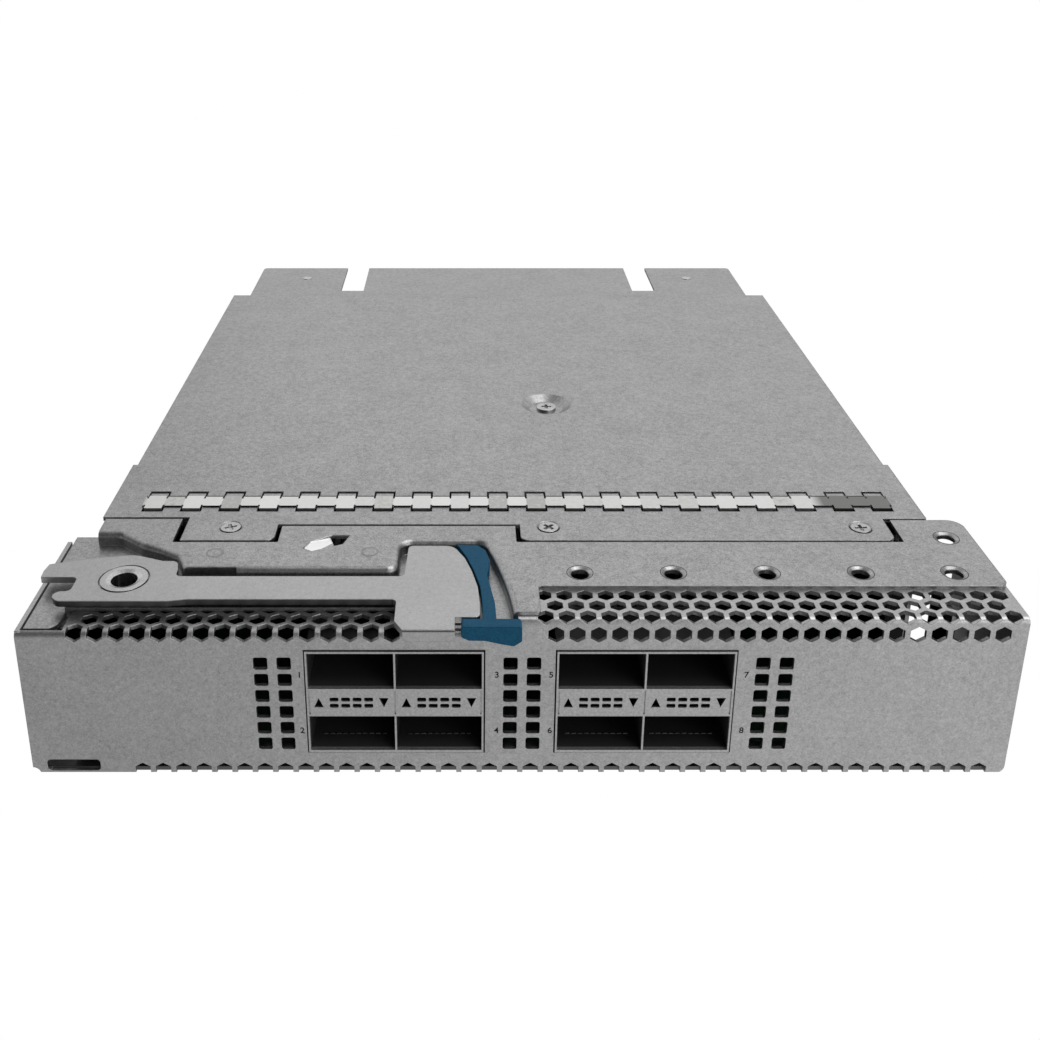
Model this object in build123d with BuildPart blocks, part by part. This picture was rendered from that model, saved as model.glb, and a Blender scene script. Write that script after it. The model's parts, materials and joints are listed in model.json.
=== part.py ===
from build123d import *
import math
import os

os.makedirs("parts", exist_ok=True)

# Plug-in port module in folded zinc-plated steel, lying flat, millimetres.
# X runs along the faceplate, Y runs back from it, Z is up from the underside.

# Overall sizes
sheet = 1.0
face_width = 214.0
face_height = 39.7
face_height_left = 36.4
body_half_width = 98.4
body_length = 207.0
tongue_reach = 243.5
lip_reach = 4.2
wing_depth = 39.7
front = -(tongue_reach - lip_reach) / 2

# Gaps between neighbouring pieces
seat_gap = 0.3
seam_gap = 0.55
cover_seam = 0.75
fit_gap = 0.05
pivot_play = 0.06

# Bezel
bend_radius = 1.5
bottom_bend = 0.6
inner_bend = bend_radius - sheet
flange_depth = 13.2
step_x = -0.6
left_flange_start = -97.0
return_length = 37.0
return_bottom = 3.0
bottom_flange_half = 105.5
bezel_rivet_x = (-80.0, -40.0, 0.0, 40.0, 80.0)
bezel_rivet_y = 8.0
bezel_rivet_radius = 1.25
bezel_rivet_head = 2.0
bezel_rivet_height = 0.6
corner_cut = 1.6
corner_round = 2.0

# Hexagonal perforation
hex_pitch = 4.49
hex_flats = 3.35
hex_radius = hex_flats / math.sqrt(3)
hex_row_step = hex_pitch * math.sqrt(3) / 2
hex_wrap_tip = 1.4
hex_wrap_rear = 3.3
hex_left_tip = 2.45
hex_bottom_tip = 2.8
right_hex_start = 5.2
right_hex_count = 23
right_row_b = 5.15
right_face_row = 35.9
left_hex_start = -94.6
left_hex_count = 16
left_row_b = 5.0
bottom_hex_start = -82.8
bottom_hex_count = 42

# Square vents
vent_width = 3.05
vent_pitch_x = 5.0
vent_pitch_z = 4.13
vent_rows = 6
vent_low_z = 8.03
vent_columns = (-52.9, 0.4, 54.2)
vent_corner = 0.5

# Lower left slot
label_slot_x = -97.9
label_slot_z = 2.25
label_slot_length = 11.7
label_slot_height = 2.9
label_slot_corner = 0.9

# Deck and its recess
deck_top = face_height + sheet
deck_front = 11.2
deck_strip_corner = 0.8
deck_strip_right = 4.2
deck_strip_front = 1.3
deck_left = -98.5
deck_corner_front = 2.0
deck_corner_rear = 3.5
recess_floor = face_height_left + sheet
recess_front = 7.8
handle_floor_start = -24.5
recess_corner = 2.4
recess_wide_corner = 2.8
recess_edge_round = 1.5
recess_right_front = step_x - sheet
recess_outline = (
    (-93.2, 33.7),
    (-86.8, 28.7),
    (-82.0, 26.2),
    (-77.0, 23.1),
    (-75.0, 18.2),
    (-26.8, 18.2),
    (-26.8, 30.1),
    (-7.4, 30.1),
)
recess_right_bow = (-3.6, 15.5)
spring_slot_x = (-75.0, -63.1)
spring_slot_y = (14.0, 19.0)
lance_outline = ((-49.4, 27.0), (-47.9, 29.9), (-43.1, 32.9), (-38.9, 32.8), (-40.2, 28.8), (-47.1, 25.7))
lance_root = (-48.5, 28.3)
lance_turn = 29.0
lance_dip = 6.0
lance_roll = 18.0
lance_tab_length = 6.4
lance_tab_width = 3.0
lance_tab_overlap = 0.8

# Cover tabs and seam
seam_left = 40.5
seam_middle = 37.1
seam_right = 39.9
tab_front = 29.7
tab_slot_left = (-80.0, -55.45)
tab_slot_right = (0.1, 90.35)
tab_outer_gap = 1.6
tab_inner_gap = 1.1
tab_corner = 2.0
tab_slot_corner = 0.4

# Plunged holes in the deck
plunge_bore = 4.0
plunge_collar = 5.2
plunge_depth = 0.5
plunge_flare = 0.75
plunge_flare_depth = 0.45
plunge_row_x = 55.35
plunge_row_y = 16.5
plunge_pitch = 20.82
plunge_count = 5
plunge_extra = (100.8, 31.6)

# Cover
cover_half = 98.2
cover_wide_half = body_half_width + sheet
cover_wide_rear = 69.0
cover_flange_drop = 12.0
cover_flange_inset = 1.2
dish_x = 11.8
dish_y = 108.3
dish_radius = 7.3
dish_floor_radius = 4.75
dish_depth = 1.5

# Contact strip
clip_count = 20
clip_pitch = 9.4
clip_first = -88.4
clip_width = 4.3
clip_gauge = 0.25
strip_rise = 0.35
strip_ends = (-91.3, 92.9)
strip_front = 46.3
strip_rear = 51.4
clip_front = 45.1
clip_rear = 53.2
clip_hook = 1.4
clip_slot_play = 0.45
clip_front_slot = (44.1, 46.8)
clip_rear_slot = (50.0, 54.3)

# Rear tongue
tongue_half = 92.7
tongue_start = 195.0
tongue_corner = 1.5
tongue_slot_x = 55.1
tongue_slot_width = 8.6
tongue_slot_start = 215.2
tongue_rivet_x = 73.9
tongue_rivet_y = 230.5
tongue_rivet_radius = 1.2
tongue_rivet_head = 1.7
tongue_rivet_height = 0.15

# Tray
tray_front = 3.6
lip_joggle = flange_depth + seam_gap
jog_x = 93.0
jog_y = 41.0
high_wall_start = 35.8
side_vent_y = (15.2, 39.4)
side_vent_z = (9.0, 38.4)
tray_rear_lip = 2.6

# Circuit board
board_thickness = 2.4
board_top = 5.85
board_bottom = board_top - board_thickness
board_half = 90.0
board_front = 3.2
board_rear = 214.0
standoff_radius = 3.0
screw_radius = 1.4
board_screw_x = (-84.0, 84.0)
board_screw_y = (24.0, 72.0, 130.0, 188.0)
board_screw_head = 2.7
board_screw_height = 1.6

# Port cages
cage_centre = 26.85
cage_width = 38.1
cage_height = 25.95
cage_depth = 60.0
cage_proud = 0.3
cage_wall = 0.4
cage_opening_gap = 0.3
pipe_width = 16.0
pipe_root = 6.0
pipe_thickness = 3.2
pipe_arm = 1.6
pipe_front = 16.0
port_width = 18.45
port_height = 8.9
port_low = 0.65
port_high = 16.6
port_depth = 46.0
port_pitch = port_width + cage_wall
middle_low = 10.05
middle_high = 16.1
cavity_wall = 0.5
arrow_width = 2.1
arrow_height = 2.4
arrow_offset = 7.0
slit_width = 1.95
slit_height = 1.0
slit_pitch_x = 2.48
slit_pitch_z = 1.6
slit_columns = 4
groove_width = 0.3
groove_depth = 0.3
groove_margin = 0.5

# Host connectors
connector_depth = 12.5
connector_width = 18.0
nose_width = 15.6
nose_height = 5.4
nose_reach = 9.0
card_slot_width = 12.8
card_slot_height = 1.3

# Signal chips, sinks and power parts
chip_size = 14.0
chip_height = 1.9
chip_y = 86.0
chip_x = (-60.0, -20.0, 20.0, 60.0)
sink_half = 74.0
sink_depth = 30.0
sink_base = 2.0
sink_top = 30.0
sink_fin = 0.9
sink_fin_pitch = 4.0
cage_sink_width = 34.0
cage_sink_depth = 44.0
cage_sink_base = 1.1
cage_sink_height = 3.2
cage_sink_fin = 0.7
cage_sink_pitch = 2.6
power_width = 34.0
power_depth = 24.0
power_height = 9.5
power_x = 50.0
power_y = 142.0
capacitor_radius = 4.0
capacitor_height = 9.0
capacitor_spots = ((-20.0, 136.0), (-20.0, 150.0), (25.0, 136.0), (25.0, 150.0))

# Rear connectors and guides
rear_connector_x = (-76.0, -30.0, 0.0, 30.0, 76.0)
rear_connector_width = 23.0
rear_connector_height = 18.0
rear_connector_y = (198.0, 224.0)
contact_well = 1.3
contact_pitch = 2.4
contact_columns = 8
contact_rows = 6
contact_well_depth = 5.0
guide_width = 11.0
guide_height = 14.0
guide_y = (196.0, 226.0)
guide_bore = 5.2

# Screws
flush_head = 4.9
flush_head_depth = 0.9
head_ring = 0.45
cross_length = 2.9
cross_width = 0.8
cross_depth = 0.6
cross_turns = (20.0, 45.0, 5.0)
cover_screw_spots = ((-67.7, 36.7), (8.0, 36.7), (82.3, 36.4))
beam_y = (41.3, 43.0)
beam_x = (-84.0, 89.0)
beam_pads = ((-77.5, -57.4), (2.2, 87.6))
beam_pad_front = 27.2
beam_thickness = 1.5
pillar_radius = 3.6
dish_screw_head = 2.85
dish_screw_height = 0.7
side_screw_y = (49.0, 62.0)
side_screw_z = 32.5
side_screw_head = 2.4
side_screw_height = 0.7
dish_screw_depth = 8.0

# Guide shelf
shelf_edge = face_width / 2 - sheet - seam_gap
shelf_start = sheet + 0.5
shelf_corner = 3.0
shelf_drop = 16.0
shelf_screw_z = 27.0
shelf_screw_y = (12.0, 30.0)

# Lever
lever_bottom = 38.5
lever_top = 40.0
pivot_x = -87.35
pivot_y = 15.2
rivet_outer = 3.55
rivet_inner = 2.9
rivet_head = 5.2
rivet_head_height = 0.9
rivet_ring = 0.4
rivet_bevel_outer = 3.9
rivet_bevel_depth = 0.35
rivet_foot = 4.2
rivet_foot_height = 0.5
washer_outer = 5.6
lever_corner = 1.2
handle_front_edge = -lip_reach
lip_bottom = 37.1
lip_left = -24.8
lip_right = -13.9
lip_shoulder = -1.0
lip_thickness = 1.9
lip_corner = 1.3
fold_radius = 0.45
handle_left = -26.6
hub_round = 6.0
tine_tip_round = 1.6
tine_heel_round = 2.0
handle_round = 3.2
lever_outline_left = (
    (handle_left, 7.1),
    (-72.0, 7.1),
    (-76.0, 6.4),
    (-99.6, 6.4),
    (-103.3, 10.2),
    (-97.8, 10.2),
    (-97.8, 15.8),
    (-106.0, 15.8),
    (-106.2, 18.4),
    (-105.8, 21.1),
    (-97.5, 23.6),
    (-87.6, 25.2),
    (-82.2, 23.2),
    (-80.6, 22.6),
    (-77.9, 22.5),
    (-76.9, 21.7),
    (-76.3, 19.0),
    (-76.2, 16.2),
    (-25.4, 16.2),
    (-24.9, 29.2),
)
handle_rear_right = (-14.6, 29.2)
lever_soft_corners = (
    (-97.8, 10.2),
    (-97.8, 15.8),
    (-82.2, 23.2),
    (-76.9, 21.7),
    (-76.2, 16.2),
    (-25.4, 16.2),
    (-24.9, 29.2),
    (handle_left, 7.1),
    (-8.6, 0.4),
)
handle_edge = ((-11.9, 23.8), (-10.3, 18.3), (-9.0, 11.8), (-8.6, 5.6), (-8.6, 0.4))

# Latch
latch_bottom = 38.0
latch_top = 40.1
latch_pin_x = -16.0
latch_pin_y = 24.4
latch_pin_radius = 1.2
latch_pin_top = 39.5
latch_bore = 1.27
lug_root = -9.0
tongue_low = 38.2
tongue_high = 38.9
pocket_top = 39.05
pocket_margin = 0.5
latch_inner_edge = ((-13.1, 28.1), (-11.45, 24.0), (-9.85, 18.4), (-8.5, 11.9), (-8.1, 5.6), (-8.1, -0.9))
latch_outer_edge = (
    (-5.2, -0.9),
    (-5.4, 5.6),
    (-6.1, 10.6),
    (-6.9, 16.7),
    (-6.4, 19.6),
    (-6.2, 22.5),
    (-7.1, 26.9),
)
latch_head_edge = ((-8.9, 29.2), (-13.9, 29.5))
tongue_lug_radius = 3.0
bar_left = -12.6
bar_right = 0.1
bar_front = -3.4
bar_rear = -0.4
bar_left_low = 37.6
bar_right_low = 36.6
bar_round = 0.7
bar_wave = ((-10.9, 36.8), (-7.6, 36.75), (-4.4, 35.95), (-1.6, 35.4))


def level(height):
    """Horizontal plane at a height, with its y measured back from the faceplate."""
    return Plane(origin=(0, front, height), x_dir=(1, 0, 0), z_dir=(0, 0, 1))


def facing(distance):
    """Upright plane a distance behind the faceplate, normal to the front, local y is height."""
    return Plane(origin=(0, front + distance, 0), x_dir=(1, 0, 0), z_dir=(0, -1, 0))


def side(x):
    """Upright plane across the width, normal to the right, local x is the distance back."""
    return Plane(origin=(x, front, 0), x_dir=(0, 1, 0), z_dir=(1, 0, 0))


def span(low, high):
    """Centre and length of a stretch."""
    return (low + high) / 2, high - low


def block(x, y, z, mode=Mode.ADD):
    """Rectangular block between two values of x, y and z."""
    x_mid, x_size = span(*x)
    y_mid, y_size = span(*y)
    with BuildSketch(level(z[0])) as area:
        with Locations((x_mid, y_mid)):
            Rectangle(x_size, y_size)
    extrude(area.sketch, amount=z[1] - z[0], mode=mode)


def disc(spots, radius, z, mode=Mode.ADD):
    """Upright cylinders of one radius between two heights."""
    with BuildSketch(level(z[0])) as area:
        with Locations(*spots):
            Circle(radius)
    extrude(area.sketch, amount=z[1] - z[0], mode=mode)


def cross_cut(spots, top, turn=0):
    """Cross recess in the top of a screw head, turned by an angle."""
    with BuildSketch(level(top)) as area:
        with Locations(*spots):
            Rectangle(cross_length, cross_width, rotation=turn)
            Rectangle(cross_width, cross_length, rotation=turn)
    extrude(area.sketch, amount=-cross_depth, mode=Mode.SUBTRACT)


def hex_row(plane, start, count, offset):
    """Row of pointed-up hexagonal holes through a sheet, cut both ways from its plane."""
    with BuildSketch(plane) as area:
        with Locations(*[(start + i * hex_pitch, offset) for i in range(count)]):
            RegularPolygon(hex_radius, 6, rotation=30)
    extrude(area.sketch, amount=2 * sheet, both=True, mode=Mode.SUBTRACT)


def wrapped_row(plane, start, count, edge, tip, depth):
    """Half of a row of hexagonal holes that wrap a bend, from the edge to their points."""
    half = hex_flats / 2
    shoulder = tip - math.copysign(hex_radius / 2, tip)
    outline = ((-half, 0), (half, 0), (half, shoulder), (0, tip), (-half, shoulder))
    with BuildSketch(plane) as area:
        with Locations(*[(start + i * hex_pitch, edge) for i in range(count)]):
            Polygon(*outline, align=None)
    extrude(area.sketch, amount=-depth, mode=Mode.SUBTRACT)


def bezel_profile(height, has_top):
    """Section of the folded bezel, a channel that opens to the rear, with a tighter bottom bend."""
    bends = ((0, 0, bottom_bend), (0, height, bend_radius), (sheet, height - sheet, inner_bend))
    with BuildSketch() as section:
        with Locations((flange_depth / 2, height / 2)):
            Rectangle(flange_depth, height)
        with Locations((sheet + flange_depth / 2, height / 2)):
            Rectangle(flange_depth, height - 2 * sheet, mode=Mode.SUBTRACT)
        for x, z, radius in bends:
            fillet(section.vertices().sort_by_distance((x, z, 0))[0], radius=radius)
        if not has_top:
            with Locations((sheet + flange_depth / 2, height)):
                Rectangle(flange_depth, 4 * sheet, mode=Mode.SUBTRACT)
    return section.sketch


# Front bezel
hang = (Align.CENTER, Align.CENTER, Align.MAX)
cage_low = board_top
opening_width = cage_width + 2 * cage_opening_gap
opening_height = cage_height + 2 * cage_opening_gap
opening_z = cage_low + cage_height / 2
half_face = face_width / 2

step_wall_z = (face_height_left - sheet, face_height - inner_bend)
bezel_rivet_spots = [(x, bezel_rivet_y) for x in bezel_rivet_x]
tall_section = bezel_profile(face_height, True)
low_section = bezel_profile(face_height_left, True)
open_section = bezel_profile(face_height_left, False)

with BuildPart() as front_bezel:
    with BuildSketch(side(step_x)):
        add(tall_section)
    extrude(amount=half_face - step_x)
    with BuildSketch(side(step_x)):
        add(low_section)
    extrude(amount=left_flange_start - step_x)
    with BuildSketch(side(left_flange_start)):
        add(open_section)
    extrude(amount=-half_face - left_flange_start)
    block((step_x, step_x + sheet), (bend_radius, flange_depth), step_wall_z)
    return_y = (inner_bend, return_length)
    block((-half_face, sheet - half_face), return_y, (return_bottom, face_height_left))
    block((half_face - sheet, half_face), return_y, (return_bottom, face_height - inner_bend))
    for edge_x, relief in ((-half_face, bottom_flange_half), (half_face, bottom_flange_half)):
        low_x, high_x = sorted((edge_x, math.copysign(relief, edge_x)))
        block((low_x, high_x), (sheet, flange_depth), (0, 2 * sheet), mode=Mode.SUBTRACT)
    with BuildSketch(facing(-sheet)):
        with Locations((-half_face, 0)):
            Circle(corner_cut)
        with Locations((half_face - corner_round / 2, corner_round / 2)):
            Rectangle(corner_round, corner_round)
        with Locations((half_face - corner_round, corner_round)):
            Circle(corner_round, mode=Mode.SUBTRACT)
    extrude(amount=-3 * sheet, mode=Mode.SUBTRACT)
    # Cage openings, square vents and the flat slot
    with BuildSketch(facing(0)):
        with Locations((-cage_centre, opening_z), (cage_centre, opening_z)):
            Rectangle(opening_width, opening_height)
        for column in vent_columns:
            vent_mid = vent_low_z + (vent_rows - 1) * vent_pitch_z / 2
            with Locations((column, vent_mid)):
                with GridLocations(vent_pitch_x, vent_pitch_z, 2, vent_rows):
                    RectangleRounded(vent_width, vent_width, vent_corner)
        with Locations((label_slot_x, label_slot_z)):
            RectangleRounded(label_slot_length, label_slot_height, label_slot_corner)
    extrude(amount=-sheet, mode=Mode.SUBTRACT)
    # Hexagonal perforation
    right_offset = right_hex_start + hex_pitch / 2
    left_more = left_hex_count - 1
    wrap_rear = hex_wrap_rear - sheet
    hex_row(level(face_height), right_hex_start, right_hex_count, right_row_b + hex_row_step)
    hex_row(level(face_height), right_offset, right_hex_count - 1, right_row_b)
    hex_row(facing(0), right_offset, right_hex_count - 1, right_face_row)
    wrapped_row(level(face_height + sheet), right_hex_start, right_hex_count, sheet, wrap_rear, 3 * sheet)
    wrapped_row(facing(-sheet), right_hex_start, right_hex_count, face_height, -hex_wrap_tip, 3 * sheet)
    hex_row(level(face_height_left), left_hex_start + hex_pitch / 2, left_more, left_row_b)
    hex_row(level(face_height_left), left_hex_start + hex_pitch, left_more, left_row_b + hex_row_step)
    wrapped_row(level(face_height_left + sheet), left_hex_start, left_hex_count, sheet, wrap_rear, 3 * sheet)
    wrapped_row(facing(-sheet), left_hex_start, left_hex_count, face_height_left, -hex_left_tip, 3 * sheet)
    wrapped_row(facing(-sheet), bottom_hex_start, bottom_hex_count, 0, hex_bottom_tip, 2 * sheet + fit_gap)
    # Clearance for the foot of the lever's rivet
    foot_room = rivet_foot + seat_gap
    disc([(pivot_x, pivot_y)], foot_room, (face_height_left - 2 * sheet, recess_floor), mode=Mode.SUBTRACT)
    disc(bezel_rivet_spots, bezel_rivet_radius, (-sheet, 2 * sheet), mode=Mode.SUBTRACT)
front_bezel.part.label = "front_bezel"
export_step(front_bezel.part, "parts/front_bezel.step")

# Base tray
web_y = (lip_joggle, lip_joggle + sheet)
tray_inner = body_half_width - sheet
cover_bottom = face_height
flange_clear = face_height_left - sheet - seat_gap

with BuildPart() as base_tray:
    block((-body_half_width, jog_x), (lip_joggle, body_length - sheet), (0, sheet))
    block((jog_x - sheet, body_half_width), (jog_y - sheet, body_length - sheet), (0, sheet))
    block((-body_half_width, jog_x), (tray_front, web_y[1]), (sheet, 2 * sheet))
    block((-body_half_width, jog_x), web_y, (0, 2 * sheet))
    block((-body_half_width, -tray_inner), (tray_front, recess_front), (sheet, flange_clear))
    block((-body_half_width, -tray_inner), (recess_front, high_wall_start), (sheet, face_height_left))
    block((-body_half_width, -tray_inner), (high_wall_start, body_length - sheet), (0, cover_bottom))
    wall_step = lip_joggle + seam_gap
    block((jog_x - sheet, jog_x), (tray_front, wall_step), (sheet, face_height - sheet - seat_gap))
    block((jog_x - sheet, jog_x), (wall_step, jog_y), (0, cover_bottom))
    block((jog_x - sheet, body_half_width), (jog_y - sheet, jog_y), (0, cover_bottom))
    block((tray_inner, body_half_width), (jog_y - sheet, body_length - sheet), (0, cover_bottom))
    rear_lip_y = (body_length - 2 * sheet, body_length - sheet)
    block((-body_half_width, body_half_width), rear_lip_y, (0, tray_rear_lip))
    # Window in the right wall, screw and rivet holes
    block((jog_x - 2 * sheet, jog_x + sheet), side_vent_y, side_vent_z, mode=Mode.SUBTRACT)
    disc(bezel_rivet_spots, bezel_rivet_radius, (0, 3 * sheet), mode=Mode.SUBTRACT)
    with BuildSketch(side(-body_half_width - sheet)):
        with Locations(*[(y, side_screw_z) for y in side_screw_y]):
            Circle(screw_radius + fit_gap)
        with Locations(*[(y, shelf_screw_z) for y in shelf_screw_y]):
            Circle(screw_radius + fit_gap)
    extrude(amount=3 * sheet, mode=Mode.SUBTRACT)
    with BuildSketch(side(body_half_width + sheet)):
        with Locations(*[(y, side_screw_z) for y in side_screw_y]):
            Circle(screw_radius + fit_gap)
    extrude(amount=-3 * sheet, mode=Mode.SUBTRACT)
base_tray.part.label = "base_tray"
export_step(base_tray.part, "parts/base_tray.step")

with BuildPart() as bezel_rivets:
    disc(bezel_rivet_spots, bezel_rivet_radius, (0, 2 * sheet))
    disc(bezel_rivet_spots, bezel_rivet_head, (2 * sheet, 2 * sheet + bezel_rivet_height))
bezel_rivets.part.label = "bezel_rivets"
export_step(bezel_rivets.part, "parts/bezel_rivets.step")

# Deck plate with the recess for the lever
with BuildSketch(level(face_height_left)) as recess:
    with BuildLine():
        Polyline((deck_left - body_half_width, recess_outline[0][1]), *recess_outline)
        ThreePointArc(recess_outline[-1], recess_right_bow, (recess_right_front, 0))
        Polyline(
            (recess_right_front, 0),
            (recess_right_front, -body_half_width),
            (deck_left - body_half_width, -body_half_width),
            (deck_left - body_half_width, recess_outline[0][1]),
        )
    make_face()
    for corner in recess_outline[:6]:
        fillet(recess.vertices().sort_by_distance((*corner, 0))[0], radius=recess_corner)
    for corner in recess_outline[6:]:
        fillet(recess.vertices().sort_by_distance((*corner, 0))[0], radius=recess_wide_corner)

with BuildSketch(level(face_height_left)) as recess_wall:
    add(recess.sketch_local)
    offset(amount=sheet)

deck_edge = (
    (deck_left, recess_front),
    (deck_left, seam_left),
    (tab_slot_left[0], seam_left),
    (tab_slot_left[0], tab_front),
    (tab_slot_left[1], tab_front),
    (tab_slot_left[1], seam_middle),
    (tab_slot_right[0], seam_middle),
    (tab_slot_right[0], tab_front),
    (tab_slot_right[1], tab_front),
    (tab_slot_right[1], seam_right),
    (half_face, seam_right),
    (half_face, deck_front),
    (deck_strip_right, deck_front),
    (deck_strip_right, deck_strip_front),
    (recess_right_front - sheet, deck_strip_front),
    (recess_right_front - sheet, recess_front),
)
plunge_spots = [
    (plunge_row_x + (i - (plunge_count - 1) / 2) * plunge_pitch, plunge_row_y) for i in range(plunge_count)
]
plunge_spots.append(plunge_extra)
tub_x = (deck_left, deck_strip_right)
lance_drop = lance_tab_width / 2 * math.sin(math.radians(lance_roll))
lance_at = Location((lance_root[0], front + lance_root[1], deck_top - lance_drop), (0, 0, lance_turn))
lance_tilt = Location((0, 0, 0), (0, lance_dip, 0)) * Location((0, 0, 0), (lance_roll, 0, 0))
lance_plane = Plane(lance_at * lance_tilt)

with BuildPart() as deck_plate:
    extrude(recess_wall.sketch, amount=deck_top - face_height_left)
    block(tub_x, (deck_strip_front, seam_left), (face_height_left, deck_top), mode=Mode.INTERSECT)
    with BuildSketch(level(cover_bottom)) as deck_area:
        Polygon(*deck_edge, align=None)
        for y, radius in ((deck_front, deck_corner_front), (seam_right, deck_corner_rear)):
            fillet(deck_area.vertices().sort_by_distance((half_face, y, 0))[0], radius=radius)
        for x, y in ((deck_strip_right, deck_strip_front), (deck_strip_right, deck_front)):
            fillet(deck_area.vertices().sort_by_distance((x, y, 0))[0], radius=deck_strip_corner)
        for x in (*tab_slot_left, *tab_slot_right):
            fillet(deck_area.vertices().sort_by_distance((x, tab_front, 0))[0], radius=tab_slot_corner)
    extrude(amount=sheet)
    block((deck_left, handle_floor_start), (0, recess_front), (0, recess_floor), mode=Mode.SUBTRACT)
    block((deck_left, recess_right_front), (0, deck_strip_front), (0, recess_floor), mode=Mode.SUBTRACT)
    extrude(recess.sketch.moved(Location((0, 0, sheet))), amount=deck_top, mode=Mode.SUBTRACT)
    rim = recess.sketch.moved(Location((0, 0, deck_top - face_height_left))).wire()
    mouth = [e for e in deck_plate.edges() if max(rim.distance_to(e @ t) for t in (0, 0.5, 1)) < fit_gap]
    fillet(mouth, radius=recess_edge_round)
    # Slot behind the arm and the hole for the rivet
    block(spring_slot_x, spring_slot_y, (face_height_left - sheet, deck_top + sheet), mode=Mode.SUBTRACT)
    rivet_hole_z = (face_height_left - sheet, deck_top)
    disc([(pivot_x, pivot_y)], rivet_outer + fit_gap, rivet_hole_z, mode=Mode.SUBTRACT)
    # Plunged holes
    disc(plunge_spots, plunge_collar / 2, (cover_bottom - plunge_depth, cover_bottom))
    disc(plunge_spots, plunge_bore / 2, (cover_bottom - 2 * plunge_depth, deck_top), mode=Mode.SUBTRACT)
    with Locations(*[(x, front + y, deck_top) for x, y in plunge_spots]):
        mouth_radius = plunge_bore / 2 + plunge_flare
        Cone(plunge_bore / 2, mouth_radius, plunge_flare_depth, align=hang, mode=Mode.SUBTRACT)
    # Lanced tab that dips into its opening
    with BuildSketch(level(deck_top)):
        Polygon(*lance_outline, align=None)
    extrude(amount=-sheet, mode=Mode.SUBTRACT)
    with BuildSketch(lance_plane):
        with Locations(((lance_tab_length - lance_tab_overlap) / 2, 0)):
            Rectangle(lance_tab_length + lance_tab_overlap, lance_tab_width)
    extrude(amount=fit_gap - sheet)
deck_plate.part.label = "deck_plate"
export_step(deck_plate.part, "parts/deck_plate.step")

# Seam beam and screws
screw_hole = screw_radius + fit_gap
cover_screws_at = [(x, front + y, deck_top) for x, y in cover_screw_spots]
beam_z = (cover_bottom - beam_thickness, cover_bottom)

with BuildPart() as seam_beam:
    block(beam_x, beam_y, beam_z)
    for pad in beam_pads:
        block(pad, (beam_pad_front, beam_y[0]), beam_z)
    disc(cover_screw_spots, screw_hole, beam_z, mode=Mode.SUBTRACT)
seam_beam.part.label = "seam_beam"
export_step(seam_beam.part, "parts/seam_beam.step")

with BuildPart() as cover_screws:
    with Locations(*cover_screws_at):
        Cone(screw_radius, flush_head / 2, flush_head_depth, align=hang)
    disc(cover_screw_spots, screw_radius, (beam_z[0], deck_top - flush_head_depth))
    for spot, turn in zip(cover_screw_spots, cross_turns):
        cross_cut([spot], deck_top, turn)
cover_screws.part.label = "cover_screws"
export_step(cover_screws.part, "parts/cover_screws.step")

# Top cover
tab_left = (tab_slot_left[0] + tab_outer_gap, tab_slot_left[1] - tab_inner_gap)
tab_right = (tab_slot_right[0] + tab_inner_gap, tab_slot_right[1] - tab_outer_gap)
tab_edge = tab_front + cover_seam
cover_edge = (
    (-cover_wide_half, seam_left + cover_seam),
    (tab_left[0], seam_left + cover_seam),
    (tab_left[0], tab_edge),
    (tab_left[1], tab_edge),
    (tab_left[1], seam_middle + cover_seam),
    (tab_right[0], seam_middle + cover_seam),
    (tab_right[0], tab_edge),
    (tab_right[1], tab_edge),
    (tab_right[1], seam_right + cover_seam),
    (cover_wide_half, seam_right + cover_seam),
    (cover_wide_half, cover_wide_rear),
    (cover_half, cover_wide_rear),
    (cover_half, body_length),
    (-cover_half, body_length),
    (-cover_half, cover_wide_rear),
    (-cover_wide_half, cover_wide_rear),
)
clip_x = [clip_first + i * clip_pitch for i in range(clip_count)]
flange_y = (seam_left + cover_seam + cover_flange_inset, cover_wide_rear - cover_flange_inset)
flange_z = (deck_top - cover_flange_drop, cover_bottom)
dish_at = (dish_x, front + dish_y, deck_top)

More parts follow.
